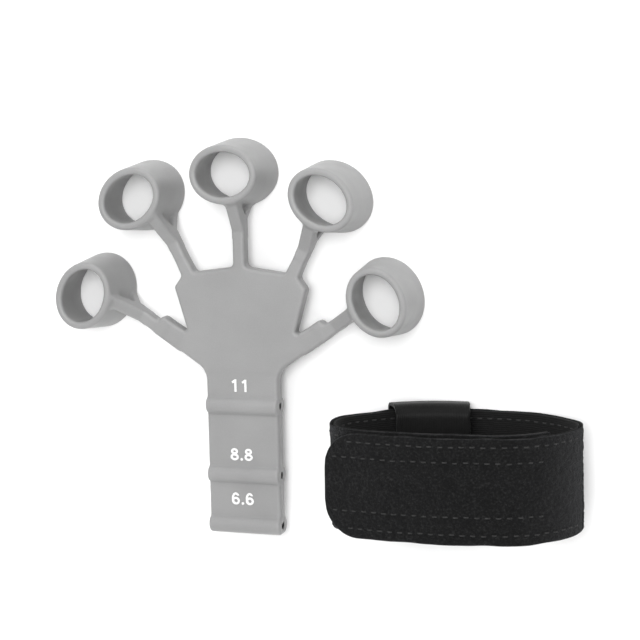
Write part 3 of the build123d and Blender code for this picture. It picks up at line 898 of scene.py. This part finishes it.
def make_keeper(runs):
    """Return the keeper: smooth webbing folded round the strap's lower wall."""
    walk = Walk(runs)
    arc = LOWER_LEFT_RADIUS * radians(360 - KEEPER_HEADING)
    half = (arc + KEEPER_FLAT) / 2
    middle = half + KEEPER_SHIFT
    line = keeper_section(260)
    tangent = np.roll(line, -1, 0) - np.roll(line, 1, 0)
    tangent /= np.linalg.norm(tangent, axis=1)[:, None]
    normal = np.stack([-tangent[:, 1], tangent[:, 0]], -1)
    outward = np.sign((normal * (line - line.mean(0))).sum())
    middle_y = (STRAP_LOW_Y + STRAP_HIGH_Y) / 2
    station = np.arange(len(line), dtype=float)
    across = np.linspace(-1, 1, 64)

    def place(along, side, level):
        k = along.astype(int)
        rib = 0.035 * np.sin(side * 34 * pi) * np.sign(level)
        shift = level * KEEPER_THICKNESS / 2 + rib
        y = middle_y + line[k, 0] + outward * normal[k, 0] * shift
        offset = line[k, 1] + outward * normal[k, 1] * shift
        straight = LOWER_LEFT_RADIUS / (LOWER_LEFT_RADIUS + offset)
        length = middle + side * half * straight
        past = np.maximum(length - arc, 0)
        length = length - past + past / straight
        return walk.at(length + 0.12 * bumps(along / 9, 0 * side, 1.0, 3), y, offset)

    piece = ribbon("keeper_visual", station, across, place, 0.045, closed=True)
    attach(piece, "strap")
    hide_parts("keeper_loop")
    return piece


loop_runs, tail_runs, hook_runs, keeper_runs = strap_runs()
strap_layers, strap_walk = make_band("strap", loop_runs, (STRAP_LOW_Y, STRAP_HIGH_Y), 0.0, 11)
tail_layers, tail_walk = make_band("tail", tail_runs, (TAIL_LOW_Y, TAIL_HIGH_Y), TAIL_CORNER, 21)
hook_patch = make_hook(hook_runs)
keeper = make_keeper(keeper_runs)


def make_stitching():
    """Sew rows along the edges of both bands, and round the hook patch."""
    face = BAND_THICKNESS / 2
    strap_span = (4, strap_walk.length[-1] - 4)
    rows = []
    for y in (STRAP_HIGH_Y - STRAP_SEAMS[0], STRAP_LOW_Y + STRAP_SEAMS[1]):
        rows += [(strap_walk, strap_span, y, side * face, side) for side in (1, -1)]
    strap_sewing = stitches("strap_stitching", rows)
    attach(strap_sewing, "strap")
    rows = []
    for (high, low), start, left in ((TAIL_SEAMS, 5, 8), (PATCH_SEAMS, 22, 5)):
        span = (start, tail_walk.length[-1] - left)
        rows += [(tail_walk, span, y, face, 1) for y in (TAIL_HIGH_Y - high, TAIL_LOW_Y + low)]
    tail_sewing = stitches("tail_stitching", rows)
    turn_over_peel(tail_sewing, tail_walk)
    return strap_sewing, tail_sewing


sewing = make_stitching()


# ---------------------------------------------------------------- materials
class Finish:
    """A material under construction: one Principled shader and helpers to feed it."""

    def __init__(self, name, **sockets):
        self.material = bpy.data.materials.new(name)
        self.material.use_nodes = True
        self.tree = self.material.node_tree
        self.shader = self.tree.nodes["Principled BSDF"]
        self.place = self.node("ShaderNodeTexCoord").outputs["Object"]
        for socket, value in sockets.items():
            self.shader.inputs[socket.replace("_", " ")].default_value = value

    def node(self, kind, **values):
        """Return a new node with some of its inputs or settings given."""
        node = self.tree.nodes.new(kind)
        for key, value in values.items():
            if key in node.inputs:
                node.inputs[key].default_value = value
            else:
                setattr(node, key, value)
        return node

    def texture(self, kind, output, values):
        """Return one output of a texture laid in the object's own space."""
        node = self.node(f"ShaderNodeTex{kind}", **values)
        self.tree.links.new(self.place, node.inputs["Vector"])
        return node.outputs[output]

    def noise(self, scale, detail):
        """Return noise that has so many bumps in a metre."""
        return self.texture(*noise(scale, detail))

    def ramp(self, value, stops):
        """Return a grey that follows a value through stops of (position, grey)."""
        node = self.node("ShaderNodeValToRGB")
        self.tree.links.new(value, node.inputs["Fac"])
        elements = node.color_ramp.elements
        while len(elements) < len(stops):
            elements.new(0.5)
        for element, (position, grey) in zip(elements, stops):
            element.position = position
            element.color = (grey, grey, grey, 1)
        return node.outputs["Color"]

    def multiply(self, a, b):
        """Return one colour times another."""
        node = self.node("ShaderNodeMixRGB", blend_type="MULTIPLY", Fac=1.0)
        self.tree.links.new(a, node.inputs["Color1"])
        self.tree.links.new(b, node.inputs["Color2"])
        return node.outputs["Color"]

    def feed(self, value, socket):
        """Link a value to one of the shader's sockets."""
        self.tree.links.new(value, self.shader.inputs[socket])

    def bump(self, height, distance, strength, under=None):
        """Return a normal raised by a height from 0 to 1, over a distance in metres."""
        node = self.node("ShaderNodeBump", Distance=distance, Strength=strength)
        self.tree.links.new(height, node.inputs["Height"])
        if under is not None:
            self.tree.links.new(under, node.inputs["Normal"])
        return node.outputs["Normal"]


def silicone_finish():
    """Satin grey silicone: nearly even, with faint mottling, fine grain and dust."""
    finish = Finish("silicone", Roughness=0.42, Specular_IOR_Level=0.42, Subsurface_Weight=0.35,
                    Subsurface_Radius=(1, 1, 1), Subsurface_Scale=0.004)
    mottle = finish.ramp(finish.noise(55, 4), [(0.3, 0.250), (0.7, 0.276)])
    grain = finish.ramp(finish.noise(2600, 2), [(0.35, 0.955), (0.65, 1.0)])
    finish.feed(finish.multiply(mottle, grain), "Base Color")
    finish.feed(finish.ramp(finish.noise(160, 4), [(0.3, 0.40), (0.7, 0.52)]), "Roughness")
    coarse = finish.bump(finish.noise(240, 3), 0.0004, 0.12)
    finish.feed(finish.bump(finish.noise(3800, 2), 0.00004, 0.35, coarse), "Normal")
    return finish.material


def noise(scale, detail, roughness=0.5):
    """Name a noise for Finish.texture, with so many bumps in a metre."""
    return "Noise", "Fac", {"Scale": scale, "Detail": detail, "Roughness": roughness}


def ribs(scale, distortion, way):
    """Name a rib pattern for Finish.texture."""
    return "Wave", "Fac", {"Scale": scale, "Distortion": distortion, "bands_direction": way}


def cells(scale):
    """Name a pattern of cells for Finish.texture."""
    return "Voronoi", "Distance", {"Scale": scale}


def patterned_finish(name, pattern, tones, relief, grain=None, wear=None, **sockets):
    """Return a material: tones over a pattern, worn by another, and relief by it or a grain."""
    finish = Finish(name, **sockets)
    colour = finish.ramp(finish.texture(*pattern), tones)
    if wear:
        colour = finish.multiply(colour, finish.ramp(finish.texture(*wear[0]), wear[1]))
    finish.feed(colour, "Base Color")
    finish.feed(finish.bump(finish.texture(*(grain or pattern)), *relief), "Normal")
    return finish.material


FINISHES = {
    # Black loop pile: a dense fuzz of tiny loops with lighter tips.
    "cloth": dict(
        name="loop_pile", pattern=noise(1250, 5, 0.68),
        tones=[(0.36, 0.0022), (0.52, 0.0052), (0.68, 0.020)],
        grain=noise(2100, 5, 0.7), relief=(0.0006, 0.8),
        wear=(noise(190, 4), [(0.3, 0.66), (0.7, 1.0)]),
        Roughness=0.95, Specular_IOR_Level=0.1, Sheen_Weight=0.09,
        Sheen_Roughness=0.55, Sheen_Tint=(0.75, 0.76, 0.8, 1)),
    # The cut edge of black foam, open and pitted.
    "foam": dict(
        name="foam_edge", pattern=cells(2600), tones=[(0.1, 0.004), (0.6, 0.02)],
        relief=(0.0003, 0.7), Roughness=1.0, Specular_IOR_Level=0.05),
    # Black knitted lining with fine ribs.
    "lining": dict(
        name="lining", pattern=ribs(420, 1.5, "Y"), tones=[(0.0, 0.004), (1.0, 0.012)],
        relief=(0.0002, 0.6), wear=(noise(900, 3), [(0.35, 0.7), (0.65, 1.0)]),
        Roughness=0.88, Specular_IOR_Level=0.12, Sheen_Weight=0.06),
    # Black sewing thread, a little lighter and shinier than the pile round it.
    "thread": dict(
        name="thread", pattern=noise(1700, 3), tones=[(0.3, 0.010), (0.7, 0.034)],
        grain=noise(2600, 2), relief=(0.0002, 0.5),
        Roughness=0.7, Specular_IOR_Level=0.2, Sheen_Weight=0.06),
    # Black hook tape: stiff glossy hooks.
    "hook": dict(
        name="hook_tape", pattern=cells(950), tones=[(0.1, 0.03), (0.5, 0.006)],
        relief=(0.0004, 0.8), Roughness=0.45, Specular_IOR_Level=0.4),
    # Smooth black elastic webbing with fine ribs and a dull shine.
    "webbing": dict(
        name="webbing", pattern=ribs(520, 0.6, "X"), tones=[(0.0, 0.0032), (1.0, 0.0062)],
        relief=(0.00012, 0.5), wear=(noise(420, 3), [(0.35, 0.75), (0.65, 1.0)]),
        Roughness=0.45, Specular_IOR_Level=0.12, Sheen_Weight=0.03),
    # White printed ink, slightly broken by the silicone's grain.
    "ink": dict(
        name="ink", pattern=noise(1400, 3), tones=[(0.3, 0.66), (0.7, 0.80)],
        grain=noise(3000, 2), relief=(0.00004, 0.4), Roughness=0.5, Specular_IOR_Level=0.3),
    # Matt black plastic.
    "pin": dict(
        name="pin", pattern=noise(2200, 2), tones=[(0.3, 0.002), (0.7, 0.005)],
        grain=noise(3000, 2), relief=(0.00005, 0.5), Roughness=0.7, Specular_IOR_Level=0.2),
}


def paint(pieces, material):
    """Give pieces one material."""
    for piece in pieces:
        piece.data.materials.clear()
        piece.data.materials.append(material)


def paint_all():
    """Give every piece and every CAD node that shows its own finish."""
    finishes = {key: patterned_finish(**look) for key, look in FINISHES.items()}
    paint(silicone.values(), silicone_finish())
    for layer in ("cloth", "foam", "lining"):
        paint((strap_layers[layer], tail_layers[layer]), finishes[layer])
    paint(sewing, finishes["thread"])
    paint([hook_patch], finishes["hook"])
    paint([keeper], finishes["webbing"])
    paint([frame["nodes"][f"{place}_level_mark"] for place in PLACES], finishes["ink"])
    paint([upper_number], finishes["ink"])
    paint(pins, finishes["pin"])


def make_pin(place):
    """Return a stop ridge's pin: a black rod with rounded ends, just inside the bore."""
    cad = frame["nodes"][f"{place}_ridge_pin"]
    low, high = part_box(cad.name)
    line = (low.y + high.y) / 2 / MM
    half = STEM_WIDTH / 2 - PIN_SINK
    radius = PIN_BORE - PIN_ROOM
    end = [
        (half - PIN_ROUND * (1 - sin(turn)), radius - PIN_ROUND * (1 - cos(turn)))
        for turn in np.linspace(0, pi / 2, 7)
    ]
    stations = [(-x, r) for x, r in reversed(end)] + end
    turns = np.linspace(0, 2 * pi, 40, endpoint=False)
    points = [
        (ORIGIN_X + x, line + r * cos(turn), PLATE_MIDDLE + r * sin(turn))
        for x, r in stations for turn in turns
    ]
    index = np.arange(len(points)).reshape(len(stations), len(turns))
    here, beyond = index[:-1], index[1:]
    faces = np.stack([here, beyond, np.roll(beyond, -1, 1), np.roll(here, -1, 1)], -1)
    faces = faces.reshape(-1, 4).tolist()
    count = len(turns)
    for ring, order in ((index[0], -1), (index[-1], 1)):
        ring = ring[::order]
        for k in range(1, count // 2):
            faces.append([ring[k - 1], ring[k], ring[count - 1 - k], ring[count - k]])
    pin = make_piece(f"{place}_pin_visual", np.array(points), np.array(faces))
    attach(pin, cad["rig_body"])
    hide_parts(cad.name)
    return pin


pins = [make_pin(place) for place in PLACES]


def make_upper_number():
    """Return a copy of the number above the first ridge, fixed where it is printed on the neck."""
    number = frame["nodes"]["upper_level_mark"].copy()
    number.data = number.data.copy()
    number.name = "upper_number"
    number.parent = None
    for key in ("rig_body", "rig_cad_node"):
        del number[key]
    bpy.context.scene.collection.objects.link(number)
    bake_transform(number)
    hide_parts("upper_level_mark")
    return number


upper_number = make_upper_number()
paint_all()

# ---------------------------------------------------------------- camera and light
# The camera's angles in degrees, its target in mm from the palm's origin and its distance.
CAMERA_ANGLES = (18.39, 8.46, -1.28)
CAMERA_TARGET, CAMERA_DISTANCE = (30.853, 2.852, 10.885), 754.4
CAMERA_LENS, CAMERA_SENSOR = 114.69, 36.0
FLOOR_SIZE, FLOOR_GREY, SKY_STRENGTH = 3.0, 0.93, 0.8
LIGHT_SIZE = 0.5
# Name, place in metres and power of lights that point at the origin.
LIGHTS = (
    ("key", (0.2, 0.22, 1.1), 8.6),
    ("fingers_end", (-0.1, 0.95, 0.5), 3.5),
    ("stem_end", (0.0, -0.95, 0.45), 1.6),
)


def make_camera():
    """Look down on the layout from the right and a little from the fingers' end."""
    azimuth, rise, roll = (radians(angle) for angle in CAMERA_ANGLES)
    back = Vector((sin(azimuth) * cos(rise), sin(rise), cos(azimuth) * cos(rise)))
    right = Vector((cos(azimuth), 0, -sin(azimuth)))
    up = back.cross(right)
    turned_right = right * cos(roll) + up * sin(roll)
    turned_up = up * cos(roll) - right * sin(roll)
    x, y, z = CAMERA_TARGET
    place = (Vector((x + ORIGIN_X, y + ORIGIN_Y, z)) + back * CAMERA_DISTANCE) * MM
    lens = bpy.data.cameras.new("camera")
    lens.lens, lens.sensor_width = CAMERA_LENS, CAMERA_SENSOR
    lens.clip_start = 0.01
    camera = show("camera", lens)
    axes = Matrix((turned_right, turned_up, back)).transposed().to_4x4()
    camera.matrix_world = Matrix.Translation(place) @ axes
    bpy.context.scene.camera = camera


make_camera()


def make_stage():
    """Lay a pale floor, and light it softly."""
    mesh = bpy.data.meshes.new("floor")
    corners = [(x * FLOOR_SIZE, y * FLOOR_SIZE, 0) for x, y in ((-1, -1), (1, -1), (1, 1), (-1, 1))]
    mesh.from_pydata(corners, [], [(0, 1, 2, 3)])
    floor = show("floor", mesh)
    pale = Finish("floor", Roughness=0.9, Specular_IOR_Level=0.1)
    pale.shader.inputs["Base Color"].default_value = (*(FLOOR_GREY,) * 3, 1)
    paint([floor], pale.material)
    world = bpy.data.worlds.new("world")
    bpy.context.scene.world = world
    world.use_nodes = True
    sky = world.node_tree.nodes["Background"].inputs
    sky["Color"].default_value = (1, 1, 1, 1)
    sky["Strength"].default_value = SKY_STRENGTH
    for name, place, power in LIGHTS:
        lamp = bpy.data.lights.new(name, "AREA")
        lamp.shape, lamp.size, lamp.energy = "SQUARE", LIGHT_SIZE, power
        light = show(name, lamp)
        light.location = place
        light.rotation_euler = (-Vector(place)).to_track_quat("-Z", "Y").to_euler()
    bpy.context.scene.view_settings.view_transform = "Standard"


make_stage()
